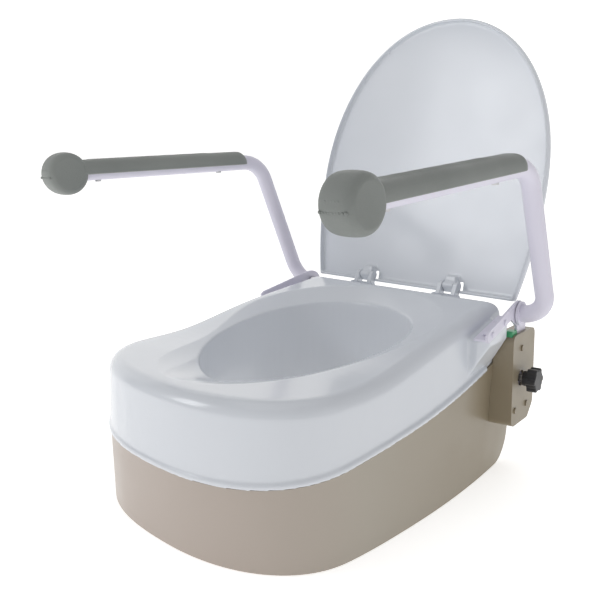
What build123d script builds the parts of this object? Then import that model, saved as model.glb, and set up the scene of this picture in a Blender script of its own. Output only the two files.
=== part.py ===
"""Raised toilet seat with folding arms and a lid: every piece as its own solid, in millimetres.

Frame: +Z up, the front of the seat faces -Y, and "right" in the names is the +X side.
The origin is on the floor, in the middle of the whole object's box.
"""

from build123d import *
from math import cos, pi, radians, sin
import os

os.makedirs("parts", exist_ok=True)

# ---------------------------------------------------------------- driving dimensions
WALL = 3.5                      # thickness of the moulded shells
RUN_FIT = 0.05                  # radial clearance of a shaft in its bush
GAP = 0.4                       # clearance between neighbouring pieces

# plan outline of the seat and the skirt
WIDEST_Y = -141.0               # where the outline is widest
HALF_WIDTH = 189.5
FRONT_REACH = 124.6             # from the widest place to the front
FRONT_POWER = 2.34              # squareness of the front curve
TOP_TAPER = 0.00024             # narrowing to the rear, per mm squared, at lip height
FOOT_TAPER = 0.00037            # the same at the floor
SKIRT_INSET = 0.5               # the skirt stands this far inside the outline
LIP_PROUD = 1.2                 # the lip stands this far outside it
LIP_HEIGHT = 6.0
LIP_REAR_Y = 112.0
SKIRT_TOP_Z = 180.0             # height of the skirt's upper construction outline
BASE_Z = 74.0                   # the seat's walls lean inward from here up
SEAT_REAR_Y = 156.0
REAR_SWELL = 5.7                # the leaning rear wall stands this much further back at BASE_Z
SKIRT_REAR_Y = 203.0
SIDE_LEAN = 2.5                 # inward lean of the seat's side walls, degrees

# side profile, as (Y, Z)
LIP_LINE = [(-300, 83), (-265, 86.6), (-141, 101.6), (-73, 109.8), (-28, 116), (56, 132), (102, 143), (230, 180)]
CREST_LINE = [(-300, 175), (-232, 178), (-150, 178.5), (-93, 182), (-52, 190), (4, 203), (68, 214.5), (156, 229),
              (240, 240)]
SHOULDER_RADIUS = 18.0

# the opening and the dished seating surface
OPEN_Y = -37.0
OPEN_A = 122.0                  # half width
OPEN_B = 134.0                  # half length
OPEN_POWER = 2.2
OPEN_EGG = 0.125                # the rear half is wider by this share
DISH_Z = 187.0                  # height of the opening's rim at OPEN_Y
DISH_SLOPE = 0.33
DISH_RUN_IN = 9.0
DISH_RISE = 60.0

# the lid
HINGE_Y = 167.0
HINGE_Z = 234.0
LID_TILT = 12.7                 # leans back from the vertical when open, degrees
LID_LENGTH = 369.0
LID_TAIL = 9.0                  # reaches this far below the hinge line
LID_BASE_HALF = 176.0
LID_HALF = 193.0
LID_WIDEST = 137.0
LID_DEPTH = 12.0
LID_RIM = 4.0
LID_SKIN = 3.5
HINGE_X = 75.0
HINGE_PIN_R = 3.0

# the arms
ARM_PLAN = 9.8                  # the pivot axis points this much to the rear of straight out, degrees
PIVOT = (184.0, 158.5, 213.0)
SHOULDER = (233.4, 97.0, 400.6)
GRIP = (257.0, -211.0, 393.0)
TUBE_R = 11.0
TUBE_WALL = 1.6
ARM_DROP = 2.7                  # the right arm rests this many degrees lower than the left
ELBOW_R = 30.0
SHOULDER_R = 40.0
FLANGE = 3.0                    # thickness of the steel bracket

# the bowl clamps
CLAMP_T = 4.4                   # place of the screw along the housing, from the pivot
CLAMP_Z = 129.0
FACE_N = 7.4                    # the housing's face, outward of the bracket's inner face
SCREW_R = 5.0
KNOB_R = 16.0
KNOB_LOBES = 6


# ---------------------------------------------------------------- shared curves
def outline_points(taper, rear_y, inset):
    """Right half of the plan outline, from the front centre to the rear."""
    widest = HALF_WIDTH - inset
    front = []
    for step in range(0, 8):
        angle = pi / 2 * step / 8
        y = WIDEST_Y - (FRONT_REACH - inset) * cos(angle) ** (2 / FRONT_POWER)
        front.append((widest * sin(angle) ** (2 / FRONT_POWER), y))
    side_ys = [WIDEST_Y + (rear_y - WIDEST_Y) * step / 5 for step in range(0, 6)]
    side = [(widest - taper * (y - WIDEST_Y) ** 2, y) for y in side_ys]
    return front + side


def plan_outline(taper, rear_y, inset):
    """Closed plan outline, moved inward by inset."""
    right = outline_points(taper, rear_y, inset)
    left = [(-x, y) for x, y in reversed(right[1:])]
    with BuildSketch() as outline:
        with BuildLine():
            Spline(*(left + right))
            Line(right[-1], left[0])
        make_face()
    return outline.sketch


def egg_points(half_a, half_b, count=20):
    """Points of the opening's outline about its own centre."""
    points = []
    for step in range(count):
        angle = 2 * pi * step / count
        c, s = cos(angle), sin(angle)
        x = half_a * abs(c) ** (2 / OPEN_POWER) * (1 if c >= 0 else -1)
        y = half_b * abs(s) ** (2 / OPEN_POWER) * (1 if s >= 0 else -1)
        points.append((x * (1 + OPEN_EGG * y / half_b), y))
    return points


def egg_face(half_a, half_b, start=0):
    """The opening's outline as a face about its own centre, its seam at point number start."""
    points = egg_points(half_a, half_b)
    with BuildSketch() as egg:
        with BuildLine():
            Spline(*(points[start:] + points[:start]), periodic=True)
        make_face()
    return egg.sketch


def side_profile(lower, upper, drop, lift):
    """Closed region in the YZ plane between two rising lines."""
    low = [(y, z + lift) for y, z in lower]
    high = [(y, z - drop) for y, z in upper]
    with BuildSketch() as region:
        with BuildLine():
            Spline(*low)
            Line(low[-1], high[-1])
            Spline(*high)
            Line(low[0], high[0])
        make_face()
    return region.sketch


def export(solid, name):
    solid.label = name
    export_step(solid, f"parts/{name}.step")


def export_arm_pair(solid, name):
    """A piece of the right-hand arm, which rests a little lower than the left one, and the left one's."""
    pivot_axis = Axis(origin=side_point(0, 0, PIVOT[2]), direction=-AXIS_N)
    export(solid.rotate(pivot_axis, -ARM_DROP), f"{name}_right")
    export(mirror(solid, about=Plane.YZ), f"{name}_left")


def export_pair(solid, name):
    """The right-hand piece, and its mirror image for the left."""
    export(solid, f"{name}_right")
    export(mirror(solid, about=Plane.YZ), f"{name}_left")


# ---------------------------------------------------------------- side frame
AXIS_N = Vector(cos(radians(ARM_PLAN)), sin(radians(ARM_PLAN)), 0)     # outward
AXIS_T = Vector(-sin(radians(ARM_PLAN)), cos(radians(ARM_PLAN)), 0)    # to the rear


def side_point(t, n, z):
    base = Vector(PIVOT[0], PIVOT[1], 0)
    return base + AXIS_T * t + AXIS_N * n + Vector(0, 0, z)


def side_plane(n, t=0.0, z=0.0):
    """Plane facing outward: its x runs to the rear, its y runs up."""
    return Plane(origin=side_point(t, n, z), x_dir=AXIS_T, z_dir=AXIS_N)


def wide_extrusion(lower, upper, half=260.0):
    """Everything between two side lines, right across the seat."""
    with BuildPart() as band:
        with BuildSketch(Plane.YZ):
            add(side_profile(lower, upper, 0, 0))
        extrude(amount=half, both=True)
    return band.part


def side_rod(radius, n_from, n_to, t, z):
    """Round bar along the pivot direction."""
    with BuildPart() as rod:
        with BuildSketch(side_plane(n_from, t, z)):
            Circle(radius)
        extrude(amount=n_to - n_from)
    return rod.part


def side_block(n_from, n_to, t_from, t_to, z_from, z_to, radius=0.0):
    """Upright block in the side frame, its corners rounded as seen from the side."""
    middle = side_plane(n_from, (t_from + t_to) / 2, (z_from + z_to) / 2)
    with BuildPart() as block:
        with BuildSketch(middle):
            if radius:
                RectangleRounded(t_to - t_from, z_to - z_from, radius)
            else:
                Rectangle(t_to - t_from, z_to - z_from)
        extrude(amount=n_to - n_from)
    return block.part


# ---------------------------------------------------------------- seat shell
DISH_PLANE = Plane(
    origin=(0, OPEN_Y, DISH_Z), x_dir=(1, 0, 0), z_dir=(0, -sin(radians(8.53)), cos(radians(8.53)))
)
RECESS_TIP_Y = -243.0
RECESS_TIP_Z = 180.0
RECESS_SLOPE = 15.5             # the hygiene recess falls to the opening at this angle, degrees
RECESS_RADIUS = 150.0
RECESS_LENGTH = 120.0


def body_block(inset, drop, radius, base_z):
    """The seat's outer form, or the same moved inward for its hollow."""
    with BuildPart() as block:
        with BuildSketch(Plane.XY.offset(base_z)):
            add(plan_outline(TOP_TAPER, SEAT_REAR_Y + REAR_SWELL - inset, inset))
        extrude(amount=200, taper=SIDE_LEAN)
        with BuildSketch(Plane.YZ):
            add(side_profile([(-300, 0), (240, 0)], CREST_LINE, drop, 0))
        extrude(amount=300, both=True, mode=Mode.INTERSECT)
        top_edges = block.faces().sort_by(Axis.Z)[-1].edges()
        fillet(top_edges, radius)
    return block.part


def dish_cut(grow):
    """The funnel that dishes the seating surface down to the opening."""
    sections = [(-DISH_RUN_IN - grow, -DISH_RUN_IN / DISH_SLOPE), (DISH_RISE - grow, DISH_RISE / DISH_SLOPE)]
    with BuildPart() as cut:
        for rise, spread in sections:
            with BuildSketch(DISH_PLANE.offset(rise)):
                add(egg_face(OPEN_A + spread, OPEN_B + spread, 5))
        loft()
    return cut.part


def opening_core(grow):
    """The straight-sided opening through the seat."""
    with BuildPart() as core:
        with BuildSketch(Plane((0, OPEN_Y, 40))):
            add(egg_face(OPEN_A + grow, OPEN_B + grow))
        extrude(amount=230)
    return core.part


def recess_cut(grow):
    """The shallow hygiene recess in the front rim: a wide round channel that falls to the opening."""
    along = Vector(0, cos(radians(RECESS_SLOPE)), -sin(radians(RECESS_SLOPE)))
    upward = Vector(0, sin(radians(RECESS_SLOPE)), cos(radians(RECESS_SLOPE)))
    start = Vector(0, RECESS_TIP_Y, RECESS_TIP_Z) + upward * RECESS_RADIUS - along * 40
    with BuildPart() as cut:
        with BuildSketch(Plane(origin=start, x_dir=(1, 0, 0), z_dir=along)):
            Circle(RECESS_RADIUS + grow)
        extrude(amount=40 + RECESS_LENGTH)
    return cut.part


def skirt_solid(inset):
    """The skirt's outer form as a solid, or the same moved inward."""
    with BuildPart() as solid:
        with BuildSketch(Plane.XY):
            add(plan_outline(FOOT_TAPER, SKIRT_REAR_Y, inset + SKIRT_INSET + 1.0))
        with BuildSketch(Plane.XY.offset(SKIRT_TOP_Z)):
            add(plan_outline(TOP_TAPER, SKIRT_REAR_Y, inset + SKIRT_INSET))
        loft()
        with BuildSketch(Plane.XY.offset(SKIRT_TOP_Z)):
            add(plan_outline(TOP_TAPER, SKIRT_REAR_Y, inset + SKIRT_INSET))
        extrude(amount=20)
    return solid.part


def lip_band():
    """The rounded bright edge along the bottom of the seat."""
    with BuildPart() as lip:
        with BuildSketch(Plane.XY.offset(BASE_Z - 10)):
            add(plan_outline(TOP_TAPER, LIP_REAR_Y, -LIP_PROUD))
        extrude(amount=120)
        with BuildSketch(Plane.YZ):
            add(side_profile(LIP_LINE, LIP_LINE, -LIP_HEIGHT, 0))
        extrude(amount=300, both=True, mode=Mode.INTERSECT)
    return lip.part


BOSS_SPOTS = [(160, -213), (187, -90), (181, 30)]
BOSS_SIZE = 15.0
BOSS_HEIGHT = 26.0
TAB_DEPTH = 6.0
SEAT_SCREW_R = 2.0


def lip_height(y):
    """Height of the lip line at y, read from the side profile."""
    for (y0, z0), (y1, z1) in zip(LIP_LINE, LIP_LINE[1:]):
        if y0 <= y <= y1:
            return z0 + (z1 - z0) * (y - y0) / (y1 - y0)
    return LIP_LINE[-1][1]


def boss_blocks(size, low, high):
    """Square blocks at the screw places on both sides, from low to high above the lip line."""
    with BuildPart() as blocks:
        for side in (1, -1):
            for x, y in BOSS_SPOTS:
                place = Location((side * (x - size / 2), y, lip_height(y) + low))
                with Locations(place):
                    Box(size, size, high - low, align=(Align.CENTER, Align.CENTER, Align.MIN))
    return blocks.part


def screw_set(spots, shank_r, head_r, length, head):
    """Pan-head screws pointing up at (x, y, z of the head's seat)."""
    with BuildPart() as screws:
        for x, y, z in spots:
            with Locations((x, y, z)):
                Cylinder(shank_r, length, align=(Align.CENTER, Align.CENTER, Align.MIN))
                Cylinder(head_r, head, align=(Align.CENTER, Align.CENTER, Align.MAX))
    return screws.part


LEG_SPOTS = [(side * x, y) for side in (1, -1) for x, y in [(137, -120), (140, 62)]]
LEG_SIZE = 22.0
LEG_FOOT_Z = 104.0
FLOOR_LINE = [(-300, -60), (240, -60)]
LIP_CUT = [(y, z - GAP) for y, z in LIP_LINE]
skirt_outer = skirt_solid(0)
skirt_inner = skirt_solid(WALL)
below_lip = wide_extrusion(FLOOR_LINE, LIP_LINE)

# the steel tray rises to the rear; everything under it follows this line
TRAY_FRONT_T = -93.0
TRAY_REAR_T = -20.0
TRAY_FRONT_Z = 193.0
TRAY_RISE = 0.22
TRAY_INNER_N = -16.0
TRAY_SHEET = 2.5
EAR_FRONT_T = -86.0
EAR_REAR_T = -26.0


def tray_z(t):
    return TRAY_FRONT_Z + TRAY_RISE * (t - TRAY_FRONT_T)


def ear():
    """Gusset that carries the arm bracket out from the seat's flank."""
    with BuildPart() as gusset:
        with BuildSketch(Plane(origin=side_point(EAR_REAR_T, 0, 0), x_dir=AXIS_N, z_dir=-AXIS_T)):
            with BuildLine():
                Polyline((-36, 148), (-22, 150), (-0.6, 186), (-0.6, 240), (-36, 240), close=True)
            make_face()
        extrude(amount=EAR_REAR_T - EAR_FRONT_T)
        with BuildSketch(side_plane(-60)):
            with BuildLine():
                Polyline(
                    (EAR_FRONT_T - 20, tray_z(EAR_FRONT_T - 20) - 0.2),
                    (EAR_REAR_T + 20, tray_z(EAR_REAR_T + 20) - 0.2),
                    (EAR_REAR_T + 20, 300),
                    (EAR_FRONT_T - 20, 300),
                    close=True,
                )
            make_face()
        extrude(amount=90, mode=Mode.SUBTRACT)
        with BuildSketch(Plane.XY.offset(100)):
            with BuildLine():
                front_in = side_point(EAR_FRONT_T - 30, -36, 0)
                front_out = side_point(EAR_FRONT_T - 30, 5, 0)
                rear_out = side_point(EAR_FRONT_T + 12, 5, 0)
                flank = side_point(EAR_FRONT_T - 12, -30, 0)
                Polyline(
                    (front_in.X, front_in.Y), (front_out.X, front_out.Y), (rear_out.X, rear_out.Y),
                    (flank.X, flank.Y), close=True,
                )
            make_face()
        extrude(amount=140, mode=Mode.SUBTRACT)
    return gusset.part


def shell_bosses():
    """Screw bosses, and the four legs that stand on the toilet bowl's rim, kept inside the shell."""
    with BuildPart() as blocks:
        add(boss_blocks(BOSS_SIZE, 0.8, BOSS_HEIGHT))
        for x, y in LEG_SPOTS:
            with Locations((x, y, LEG_FOOT_Z)):
                Box(LEG_SIZE, LEG_SIZE, 240 - LEG_FOOT_Z, align=(Align.CENTER, Align.CENTER, Align.MIN))
    return blocks.part & body_block(WALL / 2, WALL / 2, SHOULDER_RADIUS - WALL / 2, BASE_Z)


rear_notch = (Pos(0, 153.5, 164) * Box(420, 40, 50)) - skirt_solid(WALL + GAP)
shell_hollow = body_block(WALL, WALL, SHOULDER_RADIUS - WALL, BASE_Z)
shell_hollow = shell_hollow - dish_cut(WALL) - opening_core(WALL) - recess_cut(WALL)
shell_body = body_block(0, 0, SHOULDER_RADIUS, BASE_Z) + lip_band()
shell_body = shell_body + ear() + mirror(ear(), about=Plane.YZ)
shell_body = shell_body - (below_lip - opening_core(WALL))
shell_body = shell_body - opening_core(0) - dish_cut(0) - recess_cut(0) - shell_hollow
shell_body = shell_body + (shell_bosses() - dish_cut(0) - recess_cut(0)) - rear_notch
print("shell", round(shell_body.volume / 1000), "cm3", len(shell_body.solids()), "solids")

seat_feet_screws = [
    (side * (x - BOSS_SIZE / 2), y, lip_height(y) - GAP - TAB_DEPTH) for side in (1, -1) for x, y in BOSS_SPOTS
]

# ---------------------------------------------------------------- skirt
STOP_HALF = 30.0
STOP_REACH = 31.0
STOP_LOW_Z = 44.0
STOP_HIGH_Z = 74.0
WING_FRONT_Y = LIP_REAR_Y + GAP
WING_STEP_Y = 134.0
WING_LOW_Z = 145.0
WING_TOP_Z = 187.0
REAR_CORNER_R = 34.0
REAR_OPEN_HALF = 118.0


def skirt_keep():
    """Side view of what the skirt keeps: under the lip line, higher at its rear wings."""
    with BuildPart() as keep:
        with BuildSketch(Plane.YZ):
            add(side_profile([(-300, 0), (240, 0)], LIP_CUT, 0, 0))
            with BuildLine():
                Polyline(
                    (WING_FRONT_Y, 60), (WING_FRONT_Y, WING_LOW_Z), (WING_STEP_Y, WING_LOW_Z),
                    (WING_STEP_Y, WING_TOP_Z), (SKIRT_REAR_Y, WING_TOP_Z), (SKIRT_REAR_Y, 60), close=True,
                )
            make_face()
        extrude(amount=260, both=True)
        with BuildSketch(Plane.YZ):
            with BuildLine():
                corner = SKIRT_REAR_Y - REAR_CORNER_R
                Line((corner, 0), (SKIRT_REAR_Y + 60, 0))
                Line((SKIRT_REAR_Y + 60, 0), (SKIRT_REAR_Y + 60, 260))
                Line((SKIRT_REAR_Y + 60, 260), (SKIRT_REAR_Y, 260))
                Line((SKIRT_REAR_Y, 260), (SKIRT_REAR_Y, REAR_CORNER_R))
                RadiusArc((SKIRT_REAR_Y, REAR_CORNER_R), (corner, 0), REAR_CORNER_R)
            make_face()
        extrude(amount=260, both=True, mode=Mode.SUBTRACT)
    return keep.part


def front_stop():
    """Block inside the front of the skirt that meets the front of the bowl."""
    with BuildPart() as stop:
        with Locations((0, -262, STOP_LOW_Z)):
            Box(2 * STOP_HALF, STOP_REACH * 2, STOP_HIGH_Z - STOP_LOW_Z, align=(Align.CENTER, Align.CENTER, Align.MIN))
        with Locations((0, -258 + STOP_REACH / 2, STOP_LOW_Z)):
            Box(2 * STOP_HALF - 8, STOP_REACH - 4, STOP_HIGH_Z - STOP_LOW_Z - 4,
                align=(Align.CENTER, Align.CENTER, Align.MIN), mode=Mode.SUBTRACT)
    return stop.part & skirt_outer


screw_bore = side_rod(6.5, -60, 0, CLAMP_T, CLAMP_Z)
GUIDE_R = 3.0
GUIDE_Z = 104.0
guide_bore = side_rod(GUIDE_R + GAP, -60, 0, CLAMP_T, GUIDE_Z)
HOUSING_SCREWS = [(4.4, 168), (-13, 90), (24, 90)]
HOUSING_SCREW_R = 2.0

with BuildPart() as base_skirt:
    add(skirt_outer)
    add(skirt_inner, mode=Mode.SUBTRACT)
    add(boss_blocks(BOSS_SIZE, -GAP - TAB_DEPTH, -GAP) & skirt_outer)
    add(front_stop())
base_skirt_body = base_skirt.part & skirt_keep()
rear_opening = Pos(0, SKIRT_REAR_Y - 10, 100) * Box(2 * REAR_OPEN_HALF, 60, 260)
base_skirt_body = base_skirt_body - rear_opening
for bore in (screw_bore, guide_bore):
    base_skirt_body = base_skirt_body - bore - mirror(bore, about=Plane.YZ)
for t, z in HOUSING_SCREWS:
    bore = side_rod(HOUSING_SCREW_R, -60, 0, t, z)
    base_skirt_body = base_skirt_body - bore - mirror(bore, about=Plane.YZ)
for x, y, z in seat_feet_screws:
    bore = Pos(x, y, z) * Cylinder(SEAT_SCREW_R, 60)
    base_skirt_body = base_skirt_body - bore
print("skirt", round(base_skirt_body.volume / 1000), "cm3", len(base_skirt_body.solids()), "solids")
export(base_skirt_body, "base_skirt")

for x, y, z in seat_feet_screws:
    shell_body = shell_body - Pos(x, y, z + 12) * Cylinder(SEAT_SCREW_R, 24)
export(screw_set(seat_feet_screws, SEAT_SCREW_R, 3.3, 22, 2.2), "seat_screws")

with BuildPart() as bowl_feet:
    for x, y in LEG_SPOTS:
        with Locations((x, y, LEG_FOOT_Z)):
            Box(LEG_SIZE, LEG_SIZE, 4, align=(Align.CENTER, Align.CENTER, Align.MAX))
    fillet(bowl_feet.edges().filter_by(Axis.Z), 3)
export(bowl_feet.part, "bowl_rest_pads")

with BuildPart() as stop_pad:
    with Locations((0, -262 + STOP_REACH, (STOP_LOW_Z + STOP_HIGH_Z) / 2)):
        Box(2 * STOP_HALF - 6, 3, STOP_HIGH_Z - STOP_LOW_Z - 6, align=(Align.CENTER, Align.MIN, Align.CENTER))
    fillet(stop_pad.edges().filter_by(Axis.Y), 3)
export(stop_pad.part, "front_stop_pad")

# ---------------------------------------------------------------- arm brackets
PIVOT_Z = PIVOT[2]
BUSH_R = 6.0
BOLT_R = 4.0
LEG_FRONT_T = -5.0
LEG_REAR_T = 24.0
LEG_LOW_Z = 108.0
RIVET_SPOTS = [(-78, 201.0), (-42, 208.5)]

with BuildPart() as arm_bracket:
    with BuildSketch(side_plane(0)):
        with BuildLine():
            Polyline(
                (TRAY_FRONT_T + 4, tray_z(TRAY_FRONT_T)), (TRAY_FRONT_T, tray_z(TRAY_FRONT_T) + 4),
                (TRAY_FRONT_T, tray_z(TRAY_FRONT_T) + 9), (TRAY_FRONT_T + 5, tray_z(TRAY_FRONT_T) + 13),
                (-8, PIVOT_Z + 15), (10, PIVOT_Z), (10, PIVOT_Z - 14), (-14, PIVOT_Z - 10), (-22, tray_z(-22)),
                close=True,
            )
        make_face()
        with Locations((0, PIVOT_Z)):
            Circle(16)
        with Locations(((LEG_FRONT_T + LEG_REAR_T) / 2, (LEG_LOW_Z + PIVOT_Z) / 2 - 4)):
            RectangleRounded(LEG_REAR_T - LEG_FRONT_T, PIVOT_Z - LEG_LOW_Z - 8, 4)
    extrude(amount=FLANGE)
    with BuildSketch(side_plane(0)):
        with BuildLine():
            Polyline(
                (TRAY_FRONT_T + 4, tray_z(TRAY_FRONT_T + 4)), (TRAY_REAR_T, tray_z(TRAY_REAR_T)),
                (TRAY_REAR_T, tray_z(TRAY_REAR_T) + TRAY_SHEET),
                (TRAY_FRONT_T + 4, tray_z(TRAY_FRONT_T + 4) + TRAY_SHEET), close=True,
            )
        make_face()
    extrude(amount=TRAY_INNER_N)
    with Locations(side_plane(0, 0, PIVOT_Z), side_plane(0, CLAMP_T, CLAMP_Z)):
        Hole(BUSH_R)
    with Locations(side_plane(0, *HOUSING_SCREWS[0])):
        Hole(5.2)
    for t, z in RIVET_SPOTS:
        with Locations(side_plane(0, t, z)):
            Hole(2.0)
export_pair(arm_bracket.part, "arm_bracket")

with BuildPart() as bracket_rivets:
    for t, z in RIVET_SPOTS:
        with BuildSketch(side_plane(-9, t, z)):
            Circle(2.0)
        extrude(amount=9 + FLANGE)
        with BuildSketch(side_plane(FLANGE, t, z)):
            Circle(3.8)
        extrude(amount=1.6)
    fillet(bracket_rivets.edges().group_by(Axis.X)[-1], 0.8)
for t, z in RIVET_SPOTS:
    bore = side_rod(2.0, -9, 0, t, z)
    shell_body = shell_body - bore - mirror(bore, about=Plane.YZ)
export_pair(bracket_rivets.part, "bracket_rivets")

BUSH_FLANGE_N = FLANGE + 1.2
with BuildPart() as pivot_bush:
    with BuildSketch(side_plane(0, 0, PIVOT_Z)):
        Circle(BUSH_R)
    extrude(amount=FLANGE)
    with BuildSketch(side_plane(FLANGE, 0, PIVOT_Z)):
        Circle(12)
    extrude(amount=BUSH_FLANGE_N - FLANGE)
    with Locations(side_plane(0, 0, PIVOT_Z)):
        Hole(BOLT_R + RUN_FIT)
export_pair(pivot_bush.part, "pivot_bush")

# ---------------------------------------------------------------- clamp housings
HOUSING_FRONT_T = -24.0
HOUSING_REAR_T = 46.0
HOUSING_LOW_Z = 70.0
HOUSING_TOP_Z = 188.0
HOUSING_SKIN = 3.0
HOUSING_CHAMFER = 17.0
TAB_T = (-20.6, -6.0)
TAB_N = (-5.6, 3.9)
TAB_TOP_Z = 193.0
TAB_FOOT_Z = 148.0
SHELF_Z = 116.0
SPRING_R = 3.6
SPRING_WIRE = 0.7


def housing_form(shrink, face_n):
    """Side-view form of the housing, from deep inside the skirt out to face_n."""
    t_from, t_to = HOUSING_FRONT_T + shrink, HOUSING_REAR_T - shrink
    z_from, z_to = HOUSING_LOW_Z + shrink, HOUSING_TOP_Z - shrink
    cut = HOUSING_CHAMFER - shrink / 2
    with BuildPart() as form:
        with BuildSketch(side_plane(-45)):
            with BuildLine():
                Polyline(
                    (t_from, z_from), (t_to - cut, z_from), (t_to, z_from + cut), (t_to, z_to), (t_from, z_to),
                    close=True,
                )
            make_face()
            fillet(vertices(), 9 - shrink)
        extrude(amount=face_n + 45)
    return form.part


with BuildPart() as clamp_housing:
    add(housing_form(0, FACE_N))
    add(housing_form(HOUSING_SKIN, FACE_N - HOUSING_SKIN), mode=Mode.SUBTRACT)
    for t, z in HOUSING_SCREWS:
        add(side_rod(4.4, -45, FACE_N, t, z))
    add(side_block(-8, FACE_N - 1, TAB_T[0] - 2, TAB_T[1] + 0.3, SHELF_Z - 3, SHELF_Z))
    add(skirt_outer, mode=Mode.SUBTRACT)
    add(side_rod(10.2, 0, 20, CLAMP_T, CLAMP_Z), mode=Mode.SUBTRACT)
    add(side_block(-GAP, FLANGE + GAP, LEG_FRONT_T - GAP, LEG_REAR_T + GAP, 170, 200), mode=Mode.SUBTRACT)
    add(side_block(TAB_N[0] - GAP, TAB_N[1] + GAP, TAB_T[0] - GAP, TAB_T[1] + GAP, 180, 200), mode=Mode.SUBTRACT)
    for t, z in HOUSING_SCREWS:
        add(side_rod(HOUSING_SCREW_R, -45, 20, t, z), mode=Mode.SUBTRACT)
housing_body = clamp_housing.part
print("housing", round(housing_body.volume / 1000), "cm3", len(housing_body.solids()), "solids")
export_pair(housing_body, "clamp_housing")

with BuildPart() as housing_screws:
    for t, z in HOUSING_SCREWS:
        add(side_rod(HOUSING_SCREW_R, -21, FACE_N, t, z))
        add(side_rod(4.0, FACE_N, FACE_N + 1.8, t, z))
export_pair(housing_screws.part, "housing_screws")

with BuildPart() as clamp_nut:
    add(side_block(-10, 0, CLAMP_T - 11, CLAMP_T + 11, CLAMP_Z - 11, CLAMP_Z + 11, 2))
    add(side_rod(SCREW_R + RUN_FIT, -20, 5, CLAMP_T, CLAMP_Z), mode=Mode.SUBTRACT)
export_pair(clamp_nut.part, "clamp_nut")

with BuildPart() as release_tab:
    add(side_block(*TAB_N, *TAB_T, TAB_FOOT_Z, TAB_TOP_Z, 2))
export_pair(release_tab.part, "release_tab")

spring_base = side_point((TAB_T[0] + TAB_T[1]) / 2, (TAB_N[0] + TAB_N[1]) / 2, SHELF_Z + SPRING_WIRE)
with BuildPart() as release_spring:
    with BuildLine(Plane(origin=spring_base)):
        coil = Helix(pitch=5.0, height=TAB_FOOT_Z - SHELF_Z - 2 * SPRING_WIRE, radius=SPRING_R)
    with BuildSketch(Plane(origin=coil @ 0, z_dir=coil % 0)):
        Circle(SPRING_WIRE)
    sweep()
export_pair(release_spring.part, "release_spring")

# ---------------------------------------------------------------- clamp screws, knobs and shoes
KNOB_BOSS_N = FACE_N + 4.0
KNOB_HEAD_N = KNOB_BOSS_N + 7.0
KNOB_HEAD = 12.0
SCREW_END_N = -46.0
SHOE_N = (-51.0, -45.0)
SHOE_T = (CLAMP_T - 20, CLAMP_T + 20)
SHOE_Z = (42.0, 142.0)
SHOE_RUBBER = 4.0

with BuildPart() as clamp_knob:
    with BuildSketch(side_plane(KNOB_HEAD_N, CLAMP_T, CLAMP_Z)):
        Circle(KNOB_R - 2.6)
        with PolarLocations(KNOB_R - 4.2, KNOB_LOBES):
            Circle(4.2)
    extrude(amount=KNOB_HEAD)
    fillet(clamp_knob.faces().sort_by(Axis.X)[-1].edges(), 1.6)
    with BuildSketch(side_plane(KNOB_BOSS_N, CLAMP_T, CLAMP_Z)):
        Circle(9.5)
    extrude(amount=KNOB_HEAD_N - KNOB_BOSS_N)
    with BuildSketch(side_plane(KNOB_BOSS_N, CLAMP_T, CLAMP_Z)):
        Circle(SCREW_R)
    extrude(amount=16, mode=Mode.SUBTRACT)
export_pair(clamp_knob.part, "clamp_knob")

export_pair(side_rod(SCREW_R, SCREW_END_N, KNOB_BOSS_N + 16, CLAMP_T, CLAMP_Z), "clamp_screw")

with BuildPart() as clamp_shoe:
    add(side_block(*SHOE_N, *SHOE_T, *SHOE_Z, 6))
    add(side_rod(9, SHOE_N[1], SHOE_N[1] + 7, CLAMP_T, CLAMP_Z))
    add(side_rod(SCREW_R + RUN_FIT, SCREW_END_N, 0, CLAMP_T, CLAMP_Z), mode=Mode.SUBTRACT)
    add(side_rod(GUIDE_R, SHOE_N[1], -10, CLAMP_T, GUIDE_Z))
export_pair(clamp_shoe.part, "clamp_shoe")

shoe_rubber = side_block(SHOE_N[0] - SHOE_RUBBER, SHOE_N[0], SHOE_T[0] + 2, SHOE_T[1] - 2, SHOE_Z[0] + 2, 92, 5)
export_pair(shoe_rubber, "shoe_rubber")

# ---------------------------------------------------------------- arms
HUB_N = BUSH_FLANGE_N + 0.3
BOLT_END_N = 18.0
BOLT_HEAD = 5.0
DRUM_R = 27.5
DRUM_FACE_R = 25.5
DRUM_WIDTH = 38.0
PAD_HALF = 19.0
PAD_TOP = 17.0
PAD_REAR = 30.0                 # the pad starts this far in front of the upper bend's corner
PAD_SCREWS = [45.0, 235.0]      # from the grip's centre along the bar

elbow = side_point(0, 38.5, PIVOT_Z)
shoulder = Vector(*SHOULDER)
grip = Vector(*GRIP)
bar = (shoulder - grip).normalized()
bar_side = bar.cross(Vector(0, 0, 1)).normalized()
bar_up = bar_side.cross(bar)
bar_length = (shoulder - grip).length


def bar_plane(distance):
    """Plane across the bar: its x runs sideways, its y up."""
    return Plane(origin=grip + bar * distance, x_dir=-bar_side, z_dir=bar)


def tube_solid(radius, back=0.0):
    with BuildPart() as tube:
        with BuildLine() as path:
            FilletPolyline(
                side_point(0, HUB_N + 3, PIVOT_Z), elbow, shoulder, grip - bar * back,
                radius=[ELBOW_R, SHOULDER_R],
            )
        with BuildSketch(Plane(origin=path.line @ 0, z_dir=path.line % 0)):
            Circle(radius)
        sweep()
    return tube.part


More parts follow.
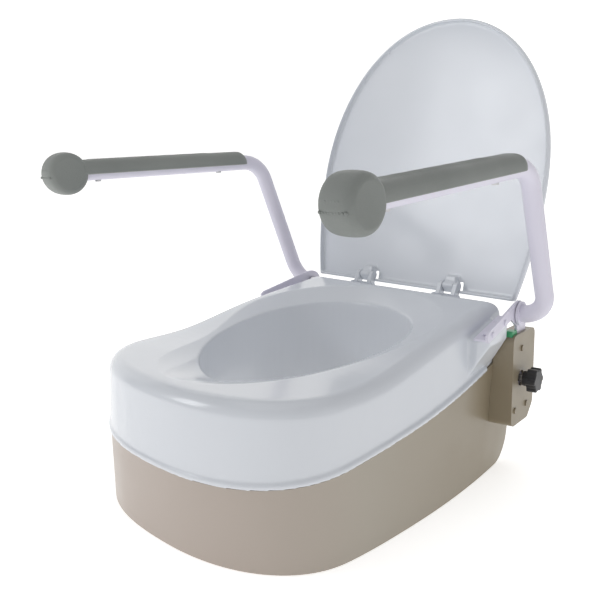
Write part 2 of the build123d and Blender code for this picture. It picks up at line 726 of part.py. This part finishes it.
tube_outer = tube_solid(TUBE_R)
tube_body = tube_outer - tube_solid(TUBE_R - TUBE_WALL, 5)
pad_screw_rods = []
for distance in PAD_SCREWS:
    with BuildPart() as rod:
        place = grip + bar * distance
        with BuildSketch(Plane(origin=place - bar_up * (TUBE_R - 0.6), z_dir=bar_up)):
            Circle(2.0)
        extrude(amount=TUBE_R + 11)
        with BuildSketch(Plane(origin=place - bar_up * (TUBE_R - 0.6), z_dir=-bar_up)):
            Circle(4.0)
        extrude(amount=2.4)
    pad_screw_rods.append(rod.part)
for rod in pad_screw_rods:
    tube_body = tube_body - rod
print("tube", round(tube_body.volume / 1000), "cm3", len(tube_body.solids()), "solids")
export_arm_pair(tube_body, "arm_tube")

with BuildPart() as arm_hub:
    with BuildSketch(side_plane(HUB_N, 0, PIVOT_Z)):
        Circle(15)
    extrude(amount=3)
    with BuildSketch(side_plane(HUB_N + 3, 0, PIVOT_Z)):
        Circle(TUBE_R - TUBE_WALL - 0.1)
    extrude(amount=4)
    with BuildSketch(side_plane(HUB_N, 0, PIVOT_Z)):
        Circle(BOLT_R)
    extrude(amount=BOLT_END_N - HUB_N, mode=Mode.SUBTRACT)
export_arm_pair(arm_hub.part, "arm_hub")

with BuildPart() as pivot_bolt:
    with BuildSketch(side_plane(-GAP, 0, PIVOT_Z)):
        Circle(BOLT_R)
    extrude(amount=BOLT_END_N + GAP)
    with BuildSketch(side_plane(-GAP, 0, PIVOT_Z)):
        RegularPolygon(7.5, 6)
    extrude(amount=-BOLT_HEAD)
export_arm_pair(pivot_bolt.part, "pivot_bolt")

with BuildPart() as arm_pad:
    with BuildSketch(bar_plane(10)):
        with BuildLine():
            Line((-PAD_HALF, -3), (PAD_HALF, -3))
            Spline((PAD_HALF, -3), (PAD_HALF, 6), (PAD_HALF - 5, PAD_TOP - 3), (0, PAD_TOP),
                   (-PAD_HALF + 5, PAD_TOP - 3), (-PAD_HALF, 6), (-PAD_HALF, -3))
        make_face()
    extrude(amount=bar_length - 10 - PAD_REAR)
    with BuildSketch(Plane(origin=grip, x_dir=bar_side, z_dir=bar)):
        with BuildLine():
            half = DRUM_WIDTH / 2
            Line((-half, 0), (-half, DRUM_FACE_R - 4))
            Spline((-half, DRUM_FACE_R - 4), (-half + 3, DRUM_FACE_R), (0, DRUM_R), (half - 3, DRUM_FACE_R),
                   (half, DRUM_FACE_R - 4))
            Line((half, DRUM_FACE_R - 4), (half, 0))
            Line((half, 0), (-half, 0))
        make_face()
    revolve(axis=Axis(origin=grip, direction=bar_side), revolution_arc=360)
pad_body = arm_pad.part - tube_outer
for rod in pad_screw_rods:
    pad_body = pad_body - rod
print("pad", round(pad_body.volume / 1000), "cm3", len(pad_body.solids()), "solids")
export_arm_pair(pad_body, "arm_pad")

with BuildPart() as pad_screws:
    for rod in pad_screw_rods:
        add(rod)
export_arm_pair(pad_screws.part, "pad_screws")

# ---------------------------------------------------------------- lid
LID_PLANE = Plane(
    origin=(0, HINGE_Y, HINGE_Z), x_dir=(1, 0, 0),
    z_dir=(0, -cos(radians(LID_TILT)), sin(radians(LID_TILT))),
)
LID_POWER = 2.09
EAR_IN = 9.5
EAR_OUT = 15.5
EAR_R = 5.4
KNUCKLE_R = 5.4
LID_SLOT = 28.0


def lid_face(inset):
    """Outline of the lid in its own plane, its hinge line at y = 0."""
    half = LID_HALF - inset
    rise = LID_LENGTH - LID_WIDEST - inset
    right = []
    for v in (-LID_TAIL + inset, 25.0, 60.0, 98.0):
        swell = (half - LID_BASE_HALF + inset) * (1 - (1 - v / LID_WIDEST) ** 2)
        right.append((LID_BASE_HALF - inset + swell, v))
    for step in range(0, 7):
        angle = pi / 2 * step / 7
        right.append((half * cos(angle) ** (2 / LID_POWER), LID_WIDEST + rise * sin(angle) ** (2 / LID_POWER)))
    top = [(0.0, LID_WIDEST + rise)]
    left = [(-x, v) for x, v in reversed(right)]
    with BuildSketch() as outline:
        with BuildLine():
            Spline(*(right + top + left))
            Line(left[-1], right[0])
        make_face()
    return outline.sketch


with BuildPart() as lid:
    with BuildSketch(LID_PLANE.offset(-LID_DEPTH)):
        add(lid_face(0))
    extrude(amount=LID_DEPTH)
    fillet(lid.faces().sort_by(Axis.Y)[-1].edges(), 5)
    with BuildSketch(LID_PLANE.offset(-LID_DEPTH + LID_SKIN)):
        add(lid_face(LID_RIM))
    extrude(amount=LID_DEPTH, mode=Mode.SUBTRACT)
    for side in (1, -1):
        with BuildSketch(LID_PLANE.offset(-LID_DEPTH - 5)):
            with Locations((side * HINGE_X, EAR_R + 1.2 - LID_SLOT / 2)):
                Rectangle(2 * EAR_OUT + 1, LID_SLOT)
                Rectangle(2 * EAR_IN - 1, 60, mode=Mode.SUBTRACT)
        extrude(amount=LID_DEPTH + 20, mode=Mode.SUBTRACT)
        with BuildSketch(LID_PLANE.offset(-LID_DEPTH + 1)):
            with Locations((side * HINGE_X, 2)):
                Rectangle(2 * EAR_IN - 1, 22)
        extrude(amount=LID_DEPTH - 1)
        with BuildSketch(Plane.YZ.offset(side * HINGE_X)):
            with Locations((HINGE_Y, HINGE_Z)):
                Circle(KNUCKLE_R)
        extrude(amount=EAR_IN - 0.5, both=True)
        with BuildSketch(Plane.YZ.offset(side * HINGE_X)):
            with Locations((HINGE_Y, HINGE_Z)):
                Circle(HINGE_PIN_R + RUN_FIT)
        extrude(amount=EAR_IN + 5, both=True, mode=Mode.SUBTRACT)
print("lid", round(lid.part.volume / 1000), "cm3", len(lid.part.solids()), "solids")
export(lid.part, "lid")

BLOCK_Y = SEAT_REAR_Y + 0.4
BLOCK_PLATE = 4.0
HINGE_SCREWS = [(side * HINGE_X + dx, 201.8) for side in (1, -1) for dx in (-15, 15)]
hinge_screw_bores = []
for x, z in HINGE_SCREWS:
    hinge_screw_bores.append(Pos(x, BLOCK_Y, z) * Rot(90, 0, 0) * Cylinder(2.0, 16))
with BuildPart() as hinge_screws:
    for x, z in HINGE_SCREWS:
        with BuildSketch(Plane(origin=(x, BLOCK_Y + BLOCK_PLATE, z), z_dir=(0, -1, 0))):
            Circle(2.0)
        extrude(amount=BLOCK_PLATE + 8)
        with BuildSketch(Plane(origin=(x, BLOCK_Y + BLOCK_PLATE, z), z_dir=(0, 1, 0))):
            Circle(4.0)
        extrude(amount=2)
export(hinge_screws.part, "hinge_screws")
for name, side in (("right", 1), ("left", -1)):
    with BuildPart() as hinge_block:
        with Locations((side * HINGE_X, BLOCK_Y, 211)):
            Box(46, BLOCK_PLATE, 26, align=(Align.CENTER, Align.MIN, Align.CENTER))
        fillet(hinge_block.edges().filter_by(Axis.Y), 4)
        for ear_side in (1, -1):
            middle = side * HINGE_X + ear_side * (EAR_IN + EAR_OUT) / 2
            with BuildSketch(Plane.YZ.offset(middle)):
                with Locations((HINGE_Y, HINGE_Z)):
                    Circle(EAR_R)
                with BuildLine():
                    Polyline(
                        (BLOCK_Y, 206), (BLOCK_Y + BLOCK_PLATE, 206), (HINGE_Y + 5, HINGE_Z - 2),
                        (HINGE_Y - 4, HINGE_Z + 3.5), (BLOCK_Y, 224), close=True,
                    )
                make_face()
            extrude(amount=(EAR_OUT - EAR_IN) / 2, both=True)
        with BuildSketch(Plane.YZ.offset(side * HINGE_X)):
            with Locations((HINGE_Y, HINGE_Z)):
                Circle(HINGE_PIN_R)
        extrude(amount=30, both=True, mode=Mode.SUBTRACT)
        for x, z in HINGE_SCREWS:
            with Locations(Plane(origin=(x, BLOCK_Y, z), z_dir=(0, 1, 0))):
                Hole(2.0)
    export(hinge_block.part, f"hinge_block_{name}")
    with BuildPart() as hinge_pin:
        with BuildSketch(Plane.YZ.offset(side * HINGE_X)):
            with Locations((HINGE_Y, HINGE_Z)):
                Circle(HINGE_PIN_R)
        extrude(amount=EAR_OUT, both=True)
    export(hinge_pin.part, f"hinge_pin_{name}")
for bore in hinge_screw_bores:
    shell_body = shell_body - bore
print("shell", round(shell_body.volume / 1000), "cm3", len(shell_body.solids()), "solids")
export(shell_body, "seat_shell")
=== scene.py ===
"""Looks of the raised toilet seat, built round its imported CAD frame."""

import math

import bmesh
import bpy
from mathutils import Matrix, Vector


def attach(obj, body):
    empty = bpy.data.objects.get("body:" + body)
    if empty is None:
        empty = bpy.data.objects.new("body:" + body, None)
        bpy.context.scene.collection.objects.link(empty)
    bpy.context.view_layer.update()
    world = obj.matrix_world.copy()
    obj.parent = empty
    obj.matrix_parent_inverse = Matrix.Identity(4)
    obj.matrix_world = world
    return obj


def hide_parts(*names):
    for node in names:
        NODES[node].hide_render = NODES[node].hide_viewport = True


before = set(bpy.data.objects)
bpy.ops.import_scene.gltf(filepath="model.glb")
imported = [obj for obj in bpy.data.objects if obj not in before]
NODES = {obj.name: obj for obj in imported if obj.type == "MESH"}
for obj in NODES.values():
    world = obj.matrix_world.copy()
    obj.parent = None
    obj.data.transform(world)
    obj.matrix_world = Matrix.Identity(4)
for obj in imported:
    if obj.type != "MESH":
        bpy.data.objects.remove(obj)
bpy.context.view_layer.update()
SCENE = bpy.context.scene


# ---------------------------------------------------------------- materials
class Shader:
    """A node material built step by step."""

    def __init__(self, name):
        self.material = bpy.data.materials.new(name)
        self.material.use_nodes = True
        self.tree = self.material.node_tree
        self.shader = self.tree.nodes["Principled BSDF"]
        self.coords = self.tree.nodes.new("ShaderNodeTexCoord").outputs["Object"]

    def noise(self, scale, detail=2.0, stretch=(1, 1, 1)):
        mapping = self.tree.nodes.new("ShaderNodeMapping")
        mapping.inputs["Scale"].default_value = stretch
        self.tree.links.new(self.coords, mapping.inputs["Vector"])
        node = self.tree.nodes.new("ShaderNodeTexNoise")
        node.inputs["Scale"].default_value = scale
        node.inputs["Detail"].default_value = detail
        self.tree.links.new(mapping.outputs[0], node.inputs["Vector"])
        return node.outputs["Fac"]

    def voronoi(self, scale):
        node = self.tree.nodes.new("ShaderNodeTexVoronoi")
        node.inputs["Scale"].default_value = scale
        self.tree.links.new(self.coords, node.inputs["Vector"])
        return node.outputs["Distance"]

    def ramp(self, value, stops):
        node = self.tree.nodes.new("ShaderNodeValToRGB")
        ramp = node.color_ramp
        while len(ramp.elements) < len(stops):
            ramp.elements.new(0.5)
        for element, (place, colour) in zip(ramp.elements, stops):
            element.position = place
            element.color = (*colour, 1) if len(colour) == 3 else colour
        self.tree.links.new(value, node.inputs[0])
        return node.outputs[0]

    def levels(self, value, low, high):
        node = self.tree.nodes.new("ShaderNodeMapRange")
        node.inputs["To Min"].default_value = low
        node.inputs["To Max"].default_value = high
        node.inputs["From Min"].default_value = 0.3
        node.inputs["From Max"].default_value = 0.7
        self.tree.links.new(value, node.inputs["Value"])
        return node.outputs[0]

    def add(self, a, b, weight=1.0):
        node = self.tree.nodes.new("ShaderNodeMath")
        node.operation = "MULTIPLY_ADD"
        self.tree.links.new(b, node.inputs[0])
        node.inputs[1].default_value = weight
        self.tree.links.new(a, node.inputs[2])
        return node.outputs[0]

    def set(self, name, value):
        socket = self.shader.inputs[name]
        if isinstance(value, bpy.types.NodeSocket):
            self.tree.links.new(value, socket)
        else:
            socket.default_value = value

    def bump(self, height, strength, distance):
        node = self.tree.nodes.new("ShaderNodeBump")
        node.inputs["Strength"].default_value = strength
        node.inputs["Distance"].default_value = distance
        self.tree.links.new(height, node.inputs["Height"])
        self.tree.links.new(node.outputs[0], self.shader.inputs["Normal"])


def moulding(name, dark, light, rough, grain, coat=0.0, scale=60.0):
    """Moulded plastic or paint: slow colour drift, uneven gloss, and a fine surface grain."""
    made = Shader(name)
    drift = made.noise(4.0, 3.0)
    made.set("Base Color", made.ramp(drift, [(0.3, dark), (0.7, light)]))
    made.set("Roughness", made.levels(made.noise(scale * 0.4, 4.0), rough * 0.8, rough * 1.2))
    made.bump(made.noise(scale * 14, 2.0), grain, 0.0004)
    made.set("Coat Weight", coat)
    made.set("Coat Roughness", 0.12)
    return made.material


WHITE = moulding("white_gloss", (0.66, 0.69, 0.74), (0.69, 0.715, 0.76), 0.22, 0.03, coat=0.3)
POWDER = moulding("white_powder_coat", (0.68, 0.66, 0.76), (0.72, 0.70, 0.80), 0.4, 0.2)
BLACK = moulding("black_moulding", (0.012, 0.012, 0.013), (0.022, 0.022, 0.024), 0.38, 0.2)
GREEN = moulding("green_moulding", (0.06, 0.36, 0.16), (0.09, 0.44, 0.2), 0.35, 0.15)
ACETAL = moulding("natural_acetal", (0.72, 0.72, 0.7), (0.78, 0.78, 0.76), 0.4, 0.1)
RUBBER = moulding("black_rubber", (0.02, 0.02, 0.02), (0.035, 0.035, 0.035), 0.75, 0.5)
FOAM = moulding("grey_foam_skin", (0.20, 0.215, 0.205), (0.27, 0.285, 0.27), 0.55, 0.9)


def steel(name):
    made = Shader(name)
    streaks = made.noise(60.0, 3.0, (1, 1, 14))
    made.set("Base Color", made.ramp(streaks, [(0.3, (0.48, 0.48, 0.5)), (0.7, (0.66, 0.66, 0.67))]))
    made.set("Metallic", 1.0)
    made.set("Roughness", made.levels(streaks, 0.24, 0.4))
    made.bump(streaks, 0.1, 0.0003)
    return made.material


STEEL = steel("zinc_plated_steel")


def painted_reflection_skirt_material():
    """The lower moulding: the same white plastic with a painted warm reflection of a wooden floor and
    painted shade in its colour, darker and browner along Y towards the rear.
    """
    made = Shader("white_skirt")
    parts = made.tree.nodes.new("ShaderNodeSeparateXYZ")
    made.tree.links.new(made.coords, parts.inputs[0])
    # painted reflection and painted shade: the colour runs along Y, darker and browner towards the rear
    across = made.tree.nodes.new("ShaderNodeMath")
    across.operation = "MULTIPLY_ADD"
    made.tree.links.new(parts.outputs["Y"], across.inputs[0])
    across.inputs[1].default_value = 1.35
    across.inputs[2].default_value = 0.42
    painted_reflection_and_tone = made.add(across.outputs[0], made.noise(3.0, 2.0), 0.08)
    # painted colours: a warm brown floor reflection and painted shade laid over white plastic; the small
    # noise only adds random tone
    stops = [(0.0, (0.50, 0.42, 0.38)), (0.3, (0.40, 0.36, 0.30)), (0.62, (0.27, 0.225, 0.155))]
    made.set("Base Color", made.ramp(painted_reflection_and_tone, stops))
    made.set("Roughness", made.levels(made.noise(20.0, 3.0), 0.28, 0.38))
    made.bump(made.noise(800.0), 0.03, 0.0003)
    return made.material


# the lower moulding's material, with painted reflection and painted shade in its base colour
SKIRT_PAINTED_REFLECTION = painted_reflection_skirt_material()
BY_NODE = {
    # the skirt, clamp housings and housing screws all carry the skirt material's painted reflection and
    # painted shade
    "base_skirt": SKIRT_PAINTED_REFLECTION, "clamp_housing": SKIRT_PAINTED_REFLECTION, "arm_tube": POWDER, "arm_bracket": POWDER, "arm_pad": FOAM,
    "arm_hub": POWDER, "bracket_rivets": POWDER, "housing_screws": SKIRT_PAINTED_REFLECTION, "hinge_pin": WHITE,
    "clamp_knob": BLACK, "release_tab": GREEN, "bowl_rest_pads": RUBBER, "front_stop_pad": RUBBER,
    "shoe_rubber": RUBBER, "pivot_bush": ACETAL, "clamp_shoe": WHITE,
    "seat_shell": WHITE, "lid": WHITE, "hinge_block": WHITE,
}


def plain_name(node):
    return node.replace("_right", "").replace("_left", "")


for node_name, node_object in NODES.items():
    chosen = BY_NODE.get(plain_name(node_name), STEEL)
    for material_slot in node_object.material_slots:
        material_slot.material = chosen


# ---------------------------------------------------------------- refined pieces
def new_piece(name, mesh, material, body):
    """Makes a smooth-shaded object from a bmesh and lets it ride on a body."""
    bmesh.ops.recalc_face_normals(mesh, faces=mesh.faces)
    data = bpy.data.meshes.new(name)
    mesh.to_mesh(data)
    mesh.free()
    data.polygons.foreach_set("use_smooth", [True] * len(data.polygons))
    data.materials.append(material)
    piece = bpy.data.objects.new(name, data)
    SCENE.collection.objects.link(piece)
    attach(piece, body)
    return piece


def soften(node, name, voxel, passes, material, body):
    """A copy of a CAD moulding with every edge rounded, as a real moulding has them."""
    piece = NODES[node].copy()
    piece.data = NODES[node].data.copy()
    piece.name = name
    piece.data.name = name
    piece.parent = None
    piece.matrix_world = NODES[node].matrix_world
    SCENE.collection.objects.link(piece)
    weld = piece.modifiers.new("weld", "WELD")
    weld.merge_threshold = 0.00001
    remesh = piece.modifiers.new("remesh", "REMESH")
    remesh.mode = "VOXEL"
    remesh.voxel_size = voxel
    smooth = piece.modifiers.new("smooth", "SMOOTH")
    smooth.factor = 0.5
    smooth.iterations = passes
    bpy.context.view_layer.update()
    evaluated = piece.evaluated_get(bpy.context.evaluated_depsgraph_get())
    data = bpy.data.meshes.new_from_object(evaluated)
    piece.modifiers.clear()
    piece.data = data
    data.name = name
    data.materials.clear()
    data.materials.append(material)
    data.polygons.foreach_set("material_index", [0] * len(data.polygons))
    data.polygons.foreach_set("use_smooth", [True] * len(data.polygons))
    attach(piece, body)
    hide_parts(node)
    return piece


GRIP = Vector((0.257, -0.211, 0.393))
SHOULDER = Vector((0.2334, 0.097, 0.4006))
PIVOT = Vector((0.184, 0.1585, 0.213))
ARM_PLAN = math.radians(9.8)
ARM_DROP = math.radians(2.7)
PAD_REAR = 0.030
PAD_HALF = 0.0188
PAD_TOP = 0.0168
PAD_FOOT = -0.0028
PAD_START = 0.006
PAD_ROUND = 0.014
PAD_STEPS = 250
RIB_FROM = 0.034
RIB_TO = 0.215
RIB_PITCH = 0.0042
RIB_HEIGHT = 0.00055
RIB_REACH = 0.012
DRUM_HALF = 0.019
DRUM_R = 0.0274
DRUM_TURNS = 128
DRUM_STEPS = 48
DRUM_CROWN = 0.0018
DRUM_EDGE = 0.0055
DRUM_HUBS = (0.0, 0.010, 0.0185)
SEAM_TURN = DRUM_TURNS // 2 + 3
SEAM_DEPTH = 0.00045
BUMP_ROWS = ((SEAM_TURN, 9), (DRUM_TURNS // 2 - 4, 5))
BUMP_PITCH = 0.0034
BUMP_R = 0.0017
BUMP_SINK = 0.0014


def pad_section(half, top, foot, count=56):
    """Outline of the pad across the bar: crowned on top, flat below."""
    points = []
    for step in range(count):
        angle = 2 * math.pi * step / count
        c, s = math.cos(angle), math.sin(angle)
        x = half * math.copysign(abs(c) ** (2 / 3.0), c)
        y = top * abs(s) ** (2 / 2.5) if s > 0 else foot * abs(s) ** (2 / 6.0)
        points.append((x, y))
    return points


def arm_pad(side):
    """The moulded grip: a ribbed bar that ends in a round drum."""
    bar = (SHOULDER - GRIP).normalized()
    across = bar.cross(Vector((0, 0, 1))).normalized()
    upward = across.cross(bar)
    length = (SHOULDER - GRIP).length - PAD_REAR
    mesh = bmesh.new()
    rings = []
    for step in range(PAD_STEPS + 1):
        along = PAD_START + (length - PAD_START) * step / PAD_STEPS
        left = max(0.0, (along - (length - PAD_ROUND)) / PAD_ROUND)
        shrink = math.sqrt(max(1.0 - left * left, 0.0009))
        rib = 0.0
        if RIB_FROM < along < RIB_TO:
            rib = RIB_HEIGHT * math.sin(along * 2 * math.pi / RIB_PITCH)
        ring = []
        for x, y in pad_section(PAD_HALF * (0.55 + 0.45 * shrink), PAD_TOP * shrink, PAD_FOOT):
            top = max(0.0, y / PAD_TOP)
            lift = rib * max(0.0, 1 - (x / RIB_REACH) ** 2) if top > 0.5 else 0.0
            place = GRIP + bar * along + across * x + upward * (y + lift)
            ring.append(mesh.verts.new(place))
        rings.append(ring)
    count = len(rings[0])
    for ring, after in zip(rings, rings[1:]):
        for i in range(count):
            j = (i + 1) % count
            mesh.faces.new((ring[i], ring[j], after[j], after[i]))
    mesh.faces.new(rings[0])
    mesh.faces.new(rings[-1])
    profile = []
    for step in range(DRUM_STEPS + 1):
        x = -DRUM_HALF + 2 * DRUM_HALF * step / DRUM_STEPS
        edge = (abs(x) / DRUM_HALF) ** 7
        crown = DRUM_R - DRUM_CROWN * (x / DRUM_HALF) ** 2 - DRUM_EDGE * edge
        profile.append((x, crown))
    profile = [(-DRUM_HALF, radius) for radius in DRUM_HUBS] + profile
    profile += [(DRUM_HALF, radius) for radius in reversed(DRUM_HUBS)]
    drum = []
    for step in range(DRUM_TURNS):
        angle = 2 * math.pi * step / DRUM_TURNS
        direction = bar * math.cos(angle) + upward * math.sin(angle)
        seam = SEAM_DEPTH if step == SEAM_TURN else 0.0
        row = []
        for x, radius in profile:
            depth = seam if abs(x) < DRUM_HALF * 0.98 and radius > 0.02 else 0.0
            row.append(mesh.verts.new(GRIP + across * x + direction * (radius - depth)))
        drum.append(row)
    for step in range(DRUM_TURNS):
        row, after = drum[step], drum[(step + 1) % DRUM_TURNS]
        for i in range(len(profile) - 1):
            mesh.faces.new((row[i], row[i + 1], after[i + 1], after[i]))
    bmesh.ops.remove_doubles(mesh, verts=mesh.verts, dist=0.000001)
    for turn_at, count_across in BUMP_ROWS:
        angle = 2 * math.pi * turn_at / DRUM_TURNS
        direction = bar * math.cos(angle) + upward * math.sin(angle)
        for i in range(count_across):
            x = (i - (count_across - 1) / 2) * BUMP_PITCH
            centre = GRIP + across * x + direction * (DRUM_R - BUMP_SINK)
            place = Matrix.Translation(centre)
            bmesh.ops.create_icosphere(mesh, subdivisions=2, radius=BUMP_R, matrix=place)
    if side > 0:
        axis = Vector((-math.cos(ARM_PLAN), -math.sin(ARM_PLAN), 0))
        drop = Matrix.Rotation(-ARM_DROP, 4, axis)
        swing = Matrix.Translation(PIVOT) @ drop @ Matrix.Translation(-PIVOT)
        bmesh.ops.transform(mesh, matrix=swing, verts=mesh.verts)
        name = "right"
    else:
        bmesh.ops.scale(mesh, vec=(-1, 1, 1), verts=mesh.verts)
        name = "left"
    piece = new_piece(f"grip_pad_{name}", mesh, FOAM, f"arm_{name}")
    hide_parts(f"arm_pad_{name}")


arm_pad(1)
arm_pad(-1)
VOXEL = 0.0013
SHELL_PASSES = 14
LID_PASSES = 5
shell = soften("seat_shell", "seat_moulding", VOXEL, SHELL_PASSES, WHITE, "seat")
lid_piece = soften("lid", "lid_moulding", VOXEL, LID_PASSES, WHITE, "lid")

# ---------------------------------------------------------------- floor, light, camera
FLOOR = Shader("pale_floor")
FLOOR_TONES = [(0.3, (0.93, 0.925, 0.915)), (0.7, (0.95, 0.945, 0.935))]
FLOOR.set("Base Color", FLOOR.ramp(FLOOR.noise(2.0), FLOOR_TONES))
FLOOR.set("Roughness", 0.9)
FLOOR.set("Emission Color", (1, 1, 1, 1))
FLOOR.set("Emission Strength", 0.55)


def studio_floor():
    """A pale floor that curves up far behind the object."""
    rows = [(-9.0, 0.0)]
    for step in range(13):
        angle = math.pi / 2 * step / 12
        rows.append((5.0 + 3.0 * math.sin(angle), 3.0 * (1 - math.cos(angle))))
    rows.append((8.0, 9.0))
    mesh = bmesh.new()
    turn = Matrix.Rotation(math.radians(47), 3, "Z")
    strips = []
    for y, z in rows:
        strips.append([mesh.verts.new(turn @ Vector((x, y, z))) for x in (-14.0, -5.0, 0.0, 5.0, 14.0)])
    for lower, upper in zip(strips, strips[1:]):
        for i in range(4):
            mesh.faces.new((lower[i], lower[i + 1], upper[i + 1], upper[i]))
    data = bpy.data.meshes.new("studio_floor")
    mesh.to_mesh(data)
    data.polygons.foreach_set("use_smooth", [True] * len(data.polygons))
    data.materials.append(FLOOR.material)
    floor = bpy.data.objects.new("studio_floor", data)
    SCENE.collection.objects.link(floor)
    floor.location.z = -0.001


def lamp(name, place, size, power, colour=(1, 1, 1), aim=(0, 0, 0.2)):
    light = bpy.data.lights.new(name, "AREA")
    light.shape = "RECTANGLE"
    light.size, light.size_y = size
    light.energy = power
    light.color = colour
    holder = bpy.data.objects.new(name, light)
    SCENE.collection.objects.link(holder)
    holder.location = place
    holder.rotation_euler = (Vector(aim) - Vector(place)).to_track_quat("-Z", "Y").to_euler()


studio_floor()
lamp("overhead", (0.2, -0.2, 2.6), (2.6, 2.6), 12)
lamp("front_left", (-1.7, -2.4, 1.5), (0.9, 1.2), 15, (0.97, 0.98, 1.0))
lamp("right_fill", (2.6, 0.3, 1.1), (1.4, 1.6), 2)
world = bpy.data.worlds.new("studio")
world.use_nodes = True
world.node_tree.nodes["Background"].inputs[0].default_value = (1, 1, 1, 1)
world.node_tree.nodes["Background"].inputs[1].default_value = 0.42
SCENE.world = world
SCENE.view_settings.view_transform = "Standard"

CAMERA_PLACE = (0.6969, -0.6878, 0.4214)
CAMERA_YAW = 47.05
CAMERA_PITCH = -11.10
CAMERA_ROLL = -1.09
lens = bpy.data.cameras.new("camera")
lens.lens = 46.82
lens.sensor_width = 36
camera = bpy.data.objects.new("camera", lens)
SCENE.collection.objects.link(camera)
camera.location = CAMERA_PLACE
turn = Matrix.Rotation(math.radians(CAMERA_YAW), 3, "Z")
tip = Matrix.Rotation(math.radians(90 + CAMERA_PITCH), 3, "X")
roll = Matrix.Rotation(math.radians(CAMERA_ROLL), 3, "Z")
camera.rotation_euler = (turn @ tip @ roll).to_euler()
SCENE.camera = camera
